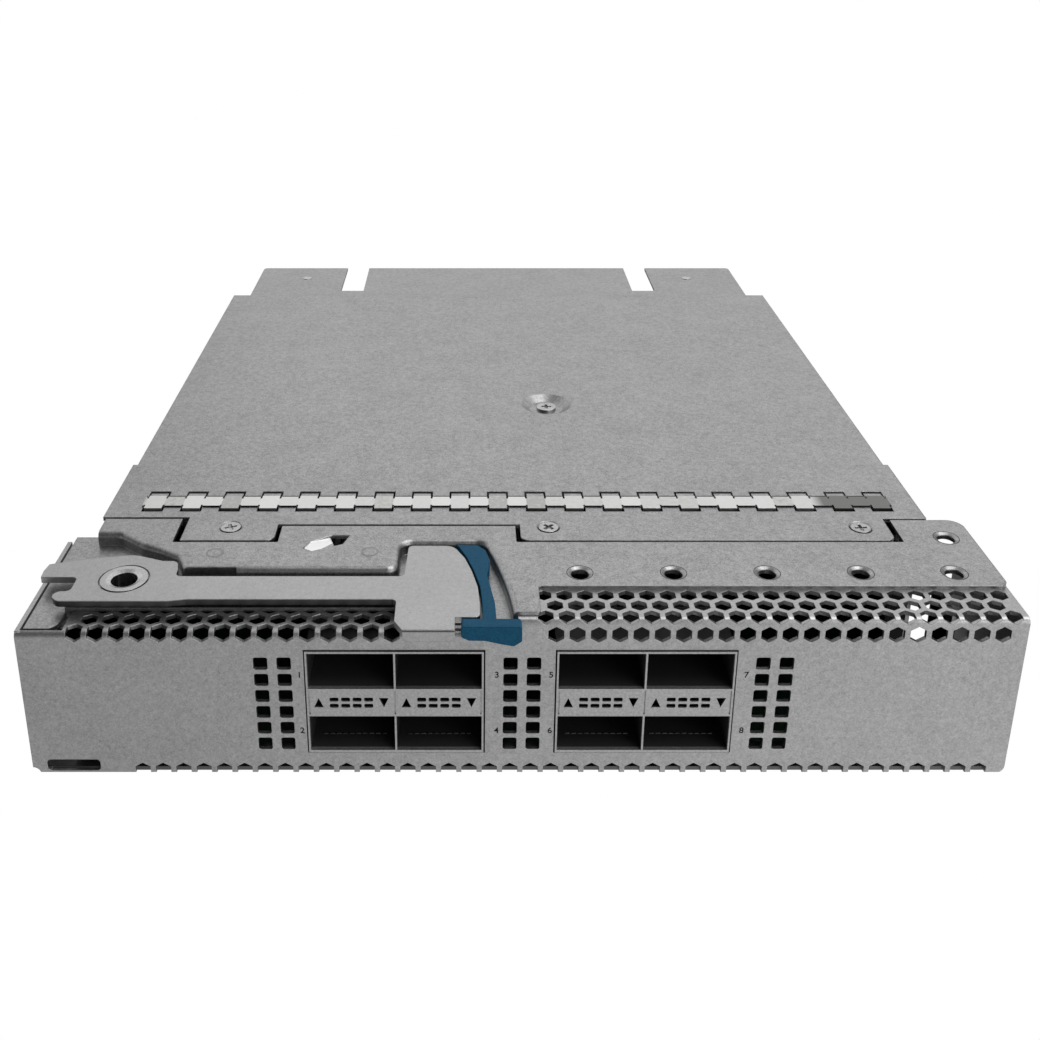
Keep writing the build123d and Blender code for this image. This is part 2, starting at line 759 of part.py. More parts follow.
with BuildPart() as top_cover:
    with BuildSketch(level(cover_bottom)) as cover_area:
        Polygon(*cover_edge, align=None)
        for x in (tab_left[1], *tab_right):
            fillet(cover_area.vertices().sort_by_distance((x, tab_edge, 0))[0], radius=tab_corner)
    extrude(amount=sheet)
    for edge_x in (-cover_wide_half, body_half_width):
        block((edge_x, edge_x + sheet), flange_y, flange_z)
    # Dish for the middle screw
    with Locations((dish_x, front + dish_y, cover_bottom)):
        Cone(dish_floor_radius + sheet / 2, dish_radius + sheet / 2, dish_depth, align=hang)
    with Locations(dish_at):
        Cone(dish_floor_radius, dish_radius, dish_depth, align=hang, mode=Mode.SUBTRACT)
        Cylinder(screw_hole, 4 * sheet, align=hang, mode=Mode.SUBTRACT)
    # Countersunk screw holes
    with Locations(*cover_screws_at):
        sink_depth_in_cover = flush_head_depth + fit_gap
        Cone(screw_hole, flush_head / 2 + head_ring, sink_depth_in_cover, align=hang, mode=Mode.SUBTRACT)
        Cylinder(screw_hole, 2 * sheet, align=hang, mode=Mode.SUBTRACT)
    # Slots for the contact strip, the rear ones in a U around a tongue of the cover
    with BuildSketch(level(deck_top)):
        for low, high in (clip_front_slot, clip_rear_slot):
            with Locations(*[(x, (low + high) / 2) for x in clip_x]):
                Rectangle(clip_width + 2 * clip_slot_play, high - low)
        with Locations(*[(x, (clip_rear_slot[0] + clip_rear) / 2) for x in clip_x]):
            Rectangle(clip_width, clip_rear - clip_rear_slot[0], mode=Mode.SUBTRACT)
    extrude(amount=-sheet, mode=Mode.SUBTRACT)
    # Side screw holes
    for edge_x, way in ((-cover_wide_half, 1), (cover_wide_half, -1)):
        with BuildSketch(side(edge_x)):
            with Locations(*[(y, side_screw_z) for y in side_screw_y]):
                Circle(screw_hole)
        extrude(amount=way * sheet, mode=Mode.SUBTRACT)
top_cover.part.label = "top_cover"
export_step(top_cover.part, "parts/top_cover.step")

with BuildPart() as side_screws:
    for edge_x, way in ((-cover_wide_half, -1), (cover_wide_half, 1)):
        with BuildSketch(side(edge_x)):
            with Locations(*[(y, side_screw_z) for y in side_screw_y]):
                Circle(side_screw_head)
        extrude(amount=way * side_screw_height)
        with BuildSketch(side(edge_x)):
            with Locations(*[(y, side_screw_z) for y in side_screw_y]):
                Circle(screw_radius)
        extrude(amount=-way * 2 * sheet)
side_screws.part.label = "side_screws"
export_step(side_screws.part, "parts/side_screws.step")

# Middle pillar and its screw
dish_floor = deck_top - dish_depth
pillar_top = dish_floor - sheet
pillar_spot = [(dish_x, dish_y)]
pillar_bore_z = (pillar_top - dish_screw_depth, pillar_top)

with BuildPart() as centre_pillar:
    disc(pillar_spot, pillar_radius, (sheet, pillar_top))
    disc(pillar_spot, screw_hole, pillar_bore_z, mode=Mode.SUBTRACT)
centre_pillar.part.label = "centre_pillar"
export_step(centre_pillar.part, "parts/centre_pillar.step")

with BuildPart() as centre_screw:
    disc(pillar_spot, dish_screw_head, (dish_floor, dish_floor + dish_screw_height))
    disc(pillar_spot, screw_radius, (pillar_bore_z[0] + sheet, dish_floor))
    cross_cut(pillar_spot, dish_floor + dish_screw_height)
centre_screw.part.label = "centre_screw"
export_step(centre_screw.part, "parts/centre_screw.step")

# Contact strip across the cover
strip_top = deck_top + strip_rise
strip_low = strip_top - clip_gauge
hook_low = cover_bottom - clip_hook / 2
clip_front_section = (
    (strip_front + 2 * clip_gauge, strip_top),
    (clip_front, strip_top),
    (clip_front, hook_low),
    (clip_front + clip_gauge, hook_low),
    (clip_front + clip_gauge, strip_low),
    (strip_front + 2 * clip_gauge, strip_low),
)

with BuildPart() as contact_strip:
    block(strip_ends, (strip_front, strip_rear), (strip_low, strip_top))
    with BuildSketch(level(strip_top)):
        for low, high in (clip_front_slot, clip_rear_slot):
            with Locations(*[(x, (low + high) / 2) for x in clip_x]):
                Rectangle(clip_width + 2 * clip_slot_play, high - low)
                Rectangle(clip_width, high - low, mode=Mode.SUBTRACT)
    extrude(amount=-strip_rise, mode=Mode.SUBTRACT)
    for x in clip_x:
        with BuildSketch(side(x - clip_width / 2)):
            Polygon(*clip_front_section, align=None)
        extrude(amount=clip_width)
contact_strip.part.label = "contact_strip"
export_step(contact_strip.part, "parts/contact_strip.step")

# Rear tongue
tongue_z = (cover_bottom - sheet, cover_bottom)
tongue_rivet_spots = [(-tongue_rivet_x, tongue_rivet_y), (tongue_rivet_x, tongue_rivet_y)]
tongue_slot_length = tongue_reach - tongue_slot_start

with BuildPart() as rear_tongue:
    with BuildSketch(level(tongue_z[0])) as tongue_area:
        with Locations((0, (tongue_start + tongue_reach) / 2)):
            Rectangle(2 * tongue_half, tongue_reach - tongue_start)
        for x in (-tongue_slot_x, tongue_slot_x):
            with Locations((x, tongue_slot_start + tongue_slot_length / 2)):
                Rectangle(tongue_slot_width, tongue_slot_length, mode=Mode.SUBTRACT)
        for x in (-tongue_half, tongue_half):
            fillet(tongue_area.vertices().sort_by_distance((x, tongue_reach, 0))[0], radius=tongue_corner)
    extrude(amount=sheet)
    disc(tongue_rivet_spots, tongue_rivet_radius, tongue_z, mode=Mode.SUBTRACT)
rear_tongue.part.label = "rear_tongue"
export_step(rear_tongue.part, "parts/rear_tongue.step")

with BuildPart() as tongue_rivets:
    disc(tongue_rivet_spots, tongue_rivet_radius, tongue_z)
    disc(tongue_rivet_spots, tongue_rivet_head, (tongue_z[1], tongue_z[1] + tongue_rivet_height))
    disc(tongue_rivet_spots, tongue_rivet_head, (tongue_z[0] - tongue_rivet_height, tongue_z[0]))
tongue_rivets.part.label = "tongue_rivets"
export_step(tongue_rivets.part, "parts/tongue_rivets.step")

# Guide shelf beside the lever
shelf_end = wing_depth - seam_gap
leg_outer = -body_half_width - sheet
shelf_screw_spots = [(y, shelf_screw_z) for y in shelf_screw_y]

with BuildPart() as guide_shelf:
    with BuildSketch(level(face_height_left - sheet)) as shelf_area:
        with Locations(((-shelf_edge - body_half_width) / 2, (shelf_start + shelf_end) / 2)):
            Rectangle(shelf_edge - body_half_width, shelf_end - shelf_start)
        inner_corner = (-body_half_width, shelf_start, 0)
        fillet(shelf_area.vertices().sort_by_distance(inner_corner)[0], radius=shelf_corner)
    extrude(amount=sheet)
    leg_y = (shelf_start + shelf_corner, shelf_end)
    block((leg_outer, -body_half_width), leg_y, (face_height_left - shelf_drop, face_height_left))
    with BuildSketch(side(leg_outer)):
        with Locations(*shelf_screw_spots):
            Circle(screw_hole)
    extrude(amount=sheet, mode=Mode.SUBTRACT)
guide_shelf.part.label = "guide_shelf"
export_step(guide_shelf.part, "parts/guide_shelf.step")

with BuildPart() as shelf_screws:
    with BuildSketch(side(leg_outer)):
        with Locations(*shelf_screw_spots):
            Circle(side_screw_head)
    extrude(amount=-side_screw_height)
    with BuildSketch(side(leg_outer)):
        with Locations(*shelf_screw_spots):
            Circle(screw_radius)
    extrude(amount=2 * sheet)
shelf_screws.part.label = "shelf_screws"
export_step(shelf_screws.part, "parts/shelf_screws.step")

# Circuit board, standoffs and screws
board_z = (board_bottom, board_top)
board_screw_spots = [(x, y) for x in board_screw_x for y in board_screw_y]

with BuildPart() as circuit_board:
    block((-board_half, board_half), (board_front, board_rear), board_z)
    disc(board_screw_spots, screw_hole, board_z, mode=Mode.SUBTRACT)
    disc(pillar_spot, pillar_radius + seat_gap, board_z, mode=Mode.SUBTRACT)
circuit_board.part.label = "circuit_board"
export_step(circuit_board.part, "parts/circuit_board.step")

with BuildPart() as standoffs:
    disc(board_screw_spots, standoff_radius, (sheet, board_bottom))
    disc(board_screw_spots, screw_hole, (sheet, board_bottom), mode=Mode.SUBTRACT)
standoffs.part.label = "standoffs"
export_step(standoffs.part, "parts/standoffs.step")

with BuildPart() as board_screws:
    disc(board_screw_spots, screw_radius, (sheet + seat_gap, board_top))
    disc(board_screw_spots, board_screw_head, (board_top, board_top + board_screw_height))
    cross_cut(board_screw_spots, board_top + board_screw_height)
board_screws.part.label = "board_screws"
export_step(board_screws.part, "parts/board_screws.step")

# Port cages, their heat sinks, connectors and light pipes
cage_top = cage_low + cage_height
middle_z = cage_low + (port_low + port_height + port_high) / 2
port_spots = (cage_low + port_low, cage_low + port_high)
cages = (("left", -cage_centre), ("right", cage_centre))
columns = [centre + way * port_pitch / 2 for _, centre in cages for way in (-1, 1)]
half_port = port_width / 2
middle_half = (port_high - port_low - port_height) / 2
groove_x = port_pitch - cage_wall
half_arrow = (arrow_width / 2, arrow_height / 2)
arrow_up = ((-half_arrow[0], -half_arrow[1]), (half_arrow[0], -half_arrow[1]), (0, half_arrow[1]))
arrow_down = ((-half_arrow[0], half_arrow[1]), (0, -half_arrow[1]), (half_arrow[0], half_arrow[1]))

for name, centre in cages:
    with BuildPart() as port_cage:
        shell_x = (centre - cage_width / 2, centre + cage_width / 2)
        block(shell_x, (-cage_proud, cage_depth), (cage_low, cage_top))
        for column in (centre - port_pitch / 2, centre + port_pitch / 2):
            across = (column - half_port, column + half_port)
            for low in port_spots:
                block(across, (-2 * cage_proud, port_depth), (low, low + port_height), mode=Mode.SUBTRACT)
            middle = (cage_low + middle_low, cage_low + middle_high)
            block(across, (cavity_wall - cage_proud, port_depth), middle, mode=Mode.SUBTRACT)
            back = (port_depth, cage_depth - cage_wall)
            block(across, back, (cage_low, cage_top - cage_wall), mode=Mode.SUBTRACT)
            with BuildSketch(facing(cavity_wall - cage_proud)):
                with Locations((column - arrow_offset, middle_z)):
                    Polygon(*arrow_up, align=None)
                with Locations((column + arrow_offset, middle_z)):
                    Polygon(*arrow_down, align=None)
                with Locations((column, middle_z)):
                    with GridLocations(slit_pitch_x, slit_pitch_z, slit_columns, 2):
                        RectangleRounded(slit_width, slit_height, slit_height / 3)
            extrude(amount=cavity_wall, mode=Mode.SUBTRACT)
        groove_z = (middle_z - middle_half + groove_margin, middle_z + middle_half - groove_margin)
        for x in (centre - groove_x, centre, centre + groove_x):
            groove = (x - groove_width / 2, x + groove_width / 2)
            block(groove, (-2 * cage_proud, groove_depth - cage_proud), groove_z, mode=Mode.SUBTRACT)
    port_cage.part.label = f"port_cage_{name}"
    export_step(port_cage.part, f"parts/port_cage_{name}.step")

    with BuildPart() as cage_heat_sink:
        sink_y = (lip_joggle + sheet, lip_joggle + sheet + cage_sink_depth)
        sink_x = (centre - cage_sink_width / 2, centre + cage_sink_width / 2)
        block(sink_x, sink_y, (cage_top, cage_top + cage_sink_base))
        fins = int((cage_sink_width - cage_sink_fin) / cage_sink_pitch) + 1
        with BuildSketch(level(cage_top + cage_sink_base)):
            with Locations((centre, (sink_y[0] + sink_y[1]) / 2)):
                with GridLocations(cage_sink_pitch, 1, fins, 1):
                    Rectangle(cage_sink_fin, cage_sink_depth)
        extrude(amount=cage_sink_height - cage_sink_base)
    cage_heat_sink.part.label = f"cage_heat_sink_{name}"
    export_step(cage_heat_sink.part, f"parts/cage_heat_sink_{name}.step")

connector_y = (port_depth + seat_gap, port_depth + seat_gap + connector_depth)
pipe_low = cage_low + middle_low

for number, column in enumerate(columns, start=1):
    with BuildPart() as port_connector:
        across = (column - connector_width / 2, column + connector_width / 2)
        block(across, connector_y, (cage_low, cage_top - 2 * cage_wall))
        for low in port_spots:
            nose_z = low + port_height / 2
            nose = (nose_z - nose_height / 2, nose_z + nose_height / 2)
            nose_y = (connector_y[0] - nose_reach, connector_y[0])
            block((column - nose_width / 2, column + nose_width / 2), nose_y, nose)
            card = (nose_z - card_slot_height / 2, nose_z + card_slot_height / 2)
            across = (column - card_slot_width / 2, column + card_slot_width / 2)
            block(across, nose_y, card, mode=Mode.SUBTRACT)
    port_connector.part.label = f"port_connector_{number}"
    export_step(port_connector.part, f"parts/port_connector_{number}.step")

    with BuildPart() as light_pipe:
        pipe_base = (port_depth - pipe_root, port_depth)
        pipe_z = (pipe_low, pipe_low + pipe_thickness)
        block((column - pipe_width / 2, column + pipe_width / 2), pipe_base, pipe_z)
        with BuildSketch(facing(pipe_base[0])):
            with Locations((column, pipe_low + pipe_thickness / 2)):
                with GridLocations(slit_pitch_x, 1, slit_columns, 1):
                    Rectangle(pipe_arm, pipe_thickness)
        extrude(amount=pipe_base[0] - pipe_front)
    light_pipe.part.label = f"light_pipe_{number}"
    export_step(light_pipe.part, f"parts/light_pipe_{number}.step")

# Signal chips under one heat sink
chip_top = board_top + chip_height
for number, x in enumerate(chip_x, start=1):
    with BuildPart() as retimer_chip:
        half = chip_size / 2
        block((x - half, x + half), (chip_y - half, chip_y + half), (board_top, chip_top))
    retimer_chip.part.label = f"retimer_chip_{number}"
    export_step(retimer_chip.part, f"parts/retimer_chip_{number}.step")

with BuildPart() as retimer_heat_sink:
    deep = (chip_y - sink_depth / 2, chip_y + sink_depth / 2)
    block((-sink_half, sink_half), deep, (chip_top, chip_top + sink_base))
    fins = int((2 * sink_half - sink_fin) / sink_fin_pitch) + 1
    with BuildSketch(level(chip_top + sink_base)):
        with Locations((0, chip_y)):
            with GridLocations(sink_fin_pitch, 1, fins, 1):
                Rectangle(sink_fin, sink_depth)
    extrude(amount=sink_top - chip_top - sink_base)
retimer_heat_sink.part.label = "retimer_heat_sink"
export_step(retimer_heat_sink.part, "parts/retimer_heat_sink.step")

# Power modules and capacitors
for number, x in enumerate((-power_x, power_x), start=1):
    with BuildPart() as power_module:
        across = (x - power_width / 2, x + power_width / 2)
        deep = (power_y - power_depth / 2, power_y + power_depth / 2)
        block(across, deep, (board_top, board_top + power_height))
    power_module.part.label = f"power_module_{number}"
    export_step(power_module.part, f"parts/power_module_{number}.step")

for number, spot in enumerate(capacitor_spots, start=1):
    with BuildPart() as capacitor:
        disc([spot], capacitor_radius, (board_top, board_top + capacitor_height))
    capacitor.part.label = f"capacitor_{number}"
    export_step(capacitor.part, f"parts/capacitor_{number}.step")

# Rear connectors and guide sockets
rear_z = (board_top, board_top + rear_connector_height)
for number, x in enumerate(rear_connector_x, start=1):
    with BuildPart() as backplane_connector:
        across = (x - rear_connector_width / 2, x + rear_connector_width / 2)
        block(across, rear_connector_y, rear_z)
        with BuildSketch(facing(rear_connector_y[1])):
            with Locations((x, (rear_z[0] + rear_z[1]) / 2)):
                with GridLocations(contact_pitch, contact_pitch, contact_columns, contact_rows):
                    Rectangle(contact_well, contact_well)
        extrude(amount=contact_well_depth, mode=Mode.SUBTRACT)
    backplane_connector.part.label = f"backplane_connector_{number}"
    export_step(backplane_connector.part, f"parts/backplane_connector_{number}.step")

for name, x in (("left", -tongue_slot_x), ("right", tongue_slot_x)):
    with BuildPart() as guide_socket:
        block((x - guide_width / 2, x + guide_width / 2), guide_y, (board_top, board_top + guide_height))
        with BuildSketch(facing(guide_y[1])):
            with Locations((x, board_top + guide_height / 2)):
                Circle(guide_bore / 2)
        extrude(amount=guide_y[1] - guide_y[0], mode=Mode.SUBTRACT)
    guide_socket.part.label = f"guide_socket_{name}"
    export_step(guide_socket.part, f"parts/guide_socket_{name}.step")

# Lever on its hollow rivet
pivot_spot = [(pivot_x, pivot_y)]
head_seat = lever_top - rivet_head_height
rivet_top = lever_top + fit_gap
rivet_shank_z = (face_height_left - rivet_foot_height, rivet_top)

with BuildPart() as pivot_rivet:
    disc(pivot_spot, rivet_outer, rivet_shank_z)
    disc(pivot_spot, rivet_foot, (rivet_shank_z[0], face_height_left))
    disc(pivot_spot, rivet_head, (head_seat + fit_gap, rivet_top))
    disc(pivot_spot, rivet_inner, rivet_shank_z, mode=Mode.SUBTRACT)
    with Locations((pivot_x, front + pivot_y, rivet_top)):
        Cone(rivet_inner, rivet_bevel_outer, rivet_bevel_depth, align=hang, mode=Mode.SUBTRACT)
pivot_rivet.part.label = "pivot_rivet"
export_step(pivot_rivet.part, "parts/pivot_rivet.step")

with BuildPart() as pivot_washer:
    washer_z = (recess_floor, lever_bottom - fit_gap)
    disc(pivot_spot, washer_outer, washer_z)
    disc(pivot_spot, rivet_outer + fit_gap, washer_z, mode=Mode.SUBTRACT)
pivot_washer.part.label = "pivot_washer"
export_step(pivot_washer.part, "parts/pivot_washer.step")

latch_pin_spot = [(latch_pin_x, latch_pin_y)]
lever_edge = (
    *lever_outline_left,
    handle_rear_right,
    *handle_edge,
    (lip_right, handle_edge[-1][1]),
    (lip_right, handle_front_edge),
    (lip_left, handle_front_edge),
    (handle_left, lip_shoulder),
)

with BuildPart() as ejector_lever:
    with BuildSketch(level(lever_bottom)) as lever_area:
        Polygon(*lever_edge, align=None)
        for corner in ((-87.6, 25.2), (-97.5, 23.6)):
            fillet(lever_area.vertices().sort_by_distance((*corner, 0))[0], radius=hub_round)
        for corner, radius in (((-103.3, 10.2), tine_tip_round), ((-99.6, 6.4), tine_heel_round)):
            fillet(lever_area.vertices().sort_by_distance((*corner, 0))[0], radius=radius)
        fillet(lever_area.vertices().sort_by_distance((*handle_rear_right, 0))[0], radius=handle_round)
        for corner in lever_soft_corners:
            fillet(lever_area.vertices().sort_by_distance((*corner, 0))[0], radius=lever_corner)
    extrude(amount=lever_top - lever_bottom)
    lip_y = (handle_front_edge, handle_front_edge + lip_thickness)
    block((lip_left, lip_right), lip_y, (lip_bottom, lever_bottom))
    fold = ejector_lever.edges().filter_by(Axis.X).group_by(Axis.Z)[-1].sort_by(Axis.Y)[0]
    fillet(fold, radius=fold_radius)
    lip_ends = ejector_lever.edges().filter_by(Axis.Y).group_by(Axis.Z)[0]
    fillet(lip_ends, radius=lip_corner)
    disc(pivot_spot, rivet_outer + pivot_play, (lever_bottom, lever_top), mode=Mode.SUBTRACT)
    disc(pivot_spot, rivet_head + rivet_ring, (head_seat, lever_top), mode=Mode.SUBTRACT)
    # Pocket under the handle for the lug of the latch
    disc(latch_pin_spot, tongue_lug_radius + pocket_margin, (lever_bottom, pocket_top), mode=Mode.SUBTRACT)
    lug_half = tongue_lug_radius + pocket_margin
    pocket_y = (latch_pin_y - lug_half, latch_pin_y + lug_half)
    block((latch_pin_x, bar_right), pocket_y, (lever_bottom, pocket_top), mode=Mode.SUBTRACT)
    disc(latch_pin_spot, latch_pin_radius, (pocket_top, latch_pin_top), mode=Mode.SUBTRACT)
ejector_lever.part.label = "ejector_lever"
export_step(ejector_lever.part, "parts/ejector_lever.step")

with BuildPart() as latch_pin:
    disc(latch_pin_spot, latch_pin_radius, (tongue_low, latch_pin_top))
latch_pin.part.label = "latch_pin"
export_step(latch_pin.part, "parts/latch_pin.step")

bar_section = (
    (bar_left, latch_top),
    (bar_left, bar_left_low),
    *bar_wave,
    (bar_right, bar_right_low),
    (bar_right, latch_top),
)

with BuildPart() as lever_latch:
    with BuildSketch(level(latch_bottom)):
        Polygon(*latch_inner_edge, *latch_outer_edge, *latch_head_edge, align=None)
    extrude(amount=latch_top - latch_bottom)
    with BuildSketch(facing(bar_rear)) as bar_area:
        Polygon(*bar_section, align=None)
        fillet(bar_area.vertices(), radius=bar_round)
    extrude(amount=bar_rear - bar_front)
    with BuildSketch(level(tongue_low)):
        with Locations(latch_pin_spot[0]):
            Circle(tongue_lug_radius)
        with Locations(((latch_pin_x + lug_root) / 2, latch_pin_y)):
            Rectangle(lug_root - latch_pin_x, 2 * tongue_lug_radius)
    extrude(amount=tongue_high - tongue_low)
    disc(latch_pin_spot, latch_bore, (tongue_low, tongue_high), mode=Mode.SUBTRACT)
lever_latch.part.label = "lever_latch"
export_step(lever_latch.part, "parts/lever_latch.step")
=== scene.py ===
# %% [markdown]
# # Switch expansion module
#
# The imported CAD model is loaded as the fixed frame, in metres, and every node of it is shown with
# a procedural finish. The pieces added here are printed digits, flat rings on the deck and small
# contacts that the CAD leaves out. The faceplate looks along -Y, +Z is up and the floor is at zero.
# Places and sizes below are in millimetres, with y counted back from the front of the faceplate.

# %% Imports and the frame
import json
import math

import bpy
import numpy as np
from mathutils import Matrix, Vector


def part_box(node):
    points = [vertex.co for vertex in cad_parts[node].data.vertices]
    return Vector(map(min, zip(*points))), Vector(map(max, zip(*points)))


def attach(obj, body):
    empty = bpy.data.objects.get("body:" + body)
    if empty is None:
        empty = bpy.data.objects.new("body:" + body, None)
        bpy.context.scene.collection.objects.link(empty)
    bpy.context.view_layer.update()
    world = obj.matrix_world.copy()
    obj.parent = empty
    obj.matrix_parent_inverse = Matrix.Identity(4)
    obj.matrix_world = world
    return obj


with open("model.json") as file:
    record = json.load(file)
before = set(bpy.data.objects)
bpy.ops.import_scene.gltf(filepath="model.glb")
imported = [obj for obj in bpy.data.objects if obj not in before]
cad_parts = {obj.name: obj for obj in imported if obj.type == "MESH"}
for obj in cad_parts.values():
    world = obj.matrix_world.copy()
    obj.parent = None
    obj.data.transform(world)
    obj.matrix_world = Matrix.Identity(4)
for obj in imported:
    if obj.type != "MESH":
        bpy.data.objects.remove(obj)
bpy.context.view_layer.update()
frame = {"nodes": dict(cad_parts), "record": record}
scene = bpy.context.scene
nodes = frame["nodes"]
MM = 0.001
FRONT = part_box("front_bezel")[0].y


# %% [markdown]
# ## Colours and shader helpers
#
# Colours are written as sRGB hex and turned into linear light by one function. One helper adds
# a shader node, sets its inputs and links what it is given. The others are short forms of it.

# %% Helpers
def srgb(code):
    """Linear RGBA from six digits of sRGB: c/12.92 below 0.04045, else ((c+0.055)/1.055)^2.4."""
    out = []
    for i in (0, 2, 4):
        c = int(code[i : i + 2], 16) / 255
        out.append(c / 12.92 if c <= 0.04045 else ((c + 0.055) / 1.055) ** 2.4)
    return (*out, 1.0)


def add(tree, kind, props=None, **inputs):
    """Adds a shader node. An input is named with underscores, or i0, i1 and so on by its number.

    A socket is linked to the input, and any other value is set on it.
    """
    node = tree.nodes.new(kind)
    for key, value in (props or {}).items():
        setattr(node, key, value)
    for key, value in inputs.items():
        numbered = key[0] == "i" and key[1:].isdigit()
        socket = node.inputs[int(key[1:]) if numbered else key.replace("_", " ")]
        if isinstance(value, bpy.types.NodeSocket):
            tree.links.new(value, socket)
        else:
            socket.default_value = value
    return node


def calc(tree, operation, *values):
    """Result of a Math node. MULTIPLY_ADD is a * b + c, and COMPARE is 1 where |a - b| <= c."""
    numbered = {f"i{i}": value for i, value in enumerate(values)}
    return add(tree, "ShaderNodeMath", {"operation": operation}, **numbered).outputs[0]


def blend(tree, share, first, second):
    """The colour first * (1 - share) + second * share."""
    node = add(tree, "ShaderNodeMix", {"data_type": "RGBA"}, i0=share, i6=first, i7=second)
    return node.outputs[2]


def ramp(tree, factor, stops):
    """Colour ramp from (position, sRGB code) pairs."""
    node = add(tree, "ShaderNodeValToRGB", Fac=factor)
    band = node.color_ramp
    while len(band.elements) < len(stops):
        band.elements.new(0.5)
    for element, (at, code) in zip(band.elements, stops):
        element.position = at
        element.color = srgb(code)
    return node.outputs["Color"]


def rise(tree, value, low, high, to=1.0, curve="LINEAR"):
    """0 where the value is at low or less, the number `to` from high on, and a curve between."""
    node = add(
        tree,
        "ShaderNodeMapRange",
        {"interpolation_type": curve},
        Value=value,
        From_Min=low,
        From_Max=high,
        To_Min=0.0,
        To_Max=to,
    )
    return node.outputs["Result"]


def noise(tree, where, **settings):
    """A smooth random field around 0.5."""
    return add(tree, "ShaderNodeTexNoise", Vector=where, **settings).outputs["Fac"]


def separate(tree, where):
    """The outputs X, Y and Z of a place."""
    return add(tree, "ShaderNodeSeparateXYZ", Vector=where).outputs


def soft_edges(tree, radius):
    """A normal that rounds the edges by a radius in millimetres, without changing the mesh."""
    return add(tree, "ShaderNodeBevel", {"samples": 4}, Radius=radius * MM).outputs[0]


def bumps(tree, strength, relief, height, normal):
    """A normal turned by a height field, with its relief in millimetres."""
    node = add(
        tree,
        "ShaderNodeBump",
        Strength=strength,
        Distance=relief * MM,
        Height=height,
        Normal=normal,
    )
    return node.outputs[0]


def new_material(name):
    """An empty node material, and the object coordinates that its patterns use."""
    mat = bpy.data.materials.new(name)
    mat.use_nodes = True
    tree = mat.node_tree
    tree.nodes.clear()
    where = add(tree, "ShaderNodeTexCoord").outputs["Object"]
    return mat, tree, where


def principled(tree, **inputs):
    """Ends a material with its shader and output."""
    shader = add(tree, "ShaderNodeBsdfPrincipled", **inputs)
    add(tree, "ShaderNodeOutputMaterial", Surface=shader.outputs[0])


# %% [markdown]
# ## Metals
#
# Zinc-plated sheet shows a fine grain: crooked flecks about 1 mm long that differ a little in
# brightness, finer specks inside them, and slow cloudy patches. Colour is the sum of three noise
# fields, and the same sum gives a shallow relief. A small edge rounding in the shader catches
# light on sheared edges, because the CAD edges are sharp. The inner sides of the sheets are
# painted dark as shade, and a few other areas get painted shade or a painted highlight. Such areas
# are boxes given as x, y and z ranges with a plain colour.

# %% Metals
# Painted shade: the inner sides of the sheets are coloured near black, as if no light reached them.
INNER_SIDES_PAINTED_SHADE = ((-97.42, 97.42), (1.02, 205.95), (0.97, 35.35), "1A1A1A")
# Painted shade: the back of the low slot at the left end is coloured a plain mid grey.
SLOT_BACK_PAINTED_SHADE = ((-105.4, -91.0), (0.9, 13.0), (0.5, 5.0), "747474")
# Painted shade: the flange's cut faces in the half hexagons at the foot of the faceplate are a
# plain mid grey.
SILL_PAINTED_SHADE = ((-84.7, 103.4), (1.02, 2.2), (0.02, 1.05), "646464")
# Painted highlight: the lanced tab in the deck is coloured near white.
LANCE_PAINTED_HIGHLIGHT = ((-49.0, -38.8), (25.6, 33.0), (39.5, 40.66), "E2E2E2")
# Painted shade: the front side of the lever arm is coloured dark grey.
ARM_FRONT_PAINTED_SHADE = ((-107.0, -27.2), (6.0, 8.0), (38.3, 39.85), "545454")
# Painted shade: a dark line along the fold of the handle's front lip.
FOLD_PAINTED_SHADE = ((-24.8, -13.9), (-4.3, -4.02), (39.42, 39.68), "505050")
FLECK_SHARE, SPECK_SHARE = 0.45, 0.35
TONE_BAND = 0.16


def inside(tree, where, box):
    """1 in a box in millimetres, else 0: the product of |coordinate - middle| <= half per axis."""
    split = separate(tree, where)
    product = 1.0
    for axis, (low, high) in zip("XYZ", box):
        middle = (low + high) / 2 * MM + (FRONT if axis == "Y" else 0.0)
        half = (high - low) / 2 * MM
        within = calc(tree, "COMPARE", split[axis], middle, half)
        product = calc(tree, "MULTIPLY", within, product)
    return product


def metal(
    name, dark, light, roughness, cell, grain, edge=0.12, relief=0.02, clouds=0.2, areas=()
):
    """Plated metal between two greys, with boxed areas in a plain colour.

    The value is 0.45 * flecks + 0.35 * specks + clouds * patches, moved so that its mean is 0.5.
    A larger cell makes coarser flecks, and a larger grain makes more contrast.
    """
    mat, tree, where = new_material(name)
    flecks = noise(tree, where, Scale=800 / cell, Detail=4.0, Roughness=0.8, Distortion=0.3)
    specks = noise(tree, where, Scale=3200 / cell, Detail=1.0, Roughness=0.5)
    patches = noise(tree, where, Scale=90.0, Detail=4.0, Roughness=0.55)
    value = (1.0 - FLECK_SHARE - SPECK_SHARE - clouds) / 2
    for field, share in ((flecks, FLECK_SHARE), (specks, SPECK_SHARE), (patches, clouds)):
        value = calc(tree, "MULTIPLY_ADD", field, share, value)
    spread = TONE_BAND / grain
    tone = ramp(tree, value, [(0.5 - spread, dark), (0.5 + spread, light)])
    for *box, colour in areas:
        tone = blend(tree, inside(tree, where, box), tone, srgb(colour))
    normal = bumps(tree, 0.35, relief, value, soft_edges(tree, edge))
    principled(tree, Base_Color=tone, Metallic=1.0, Roughness=roughness, Normal=normal)
    return mat


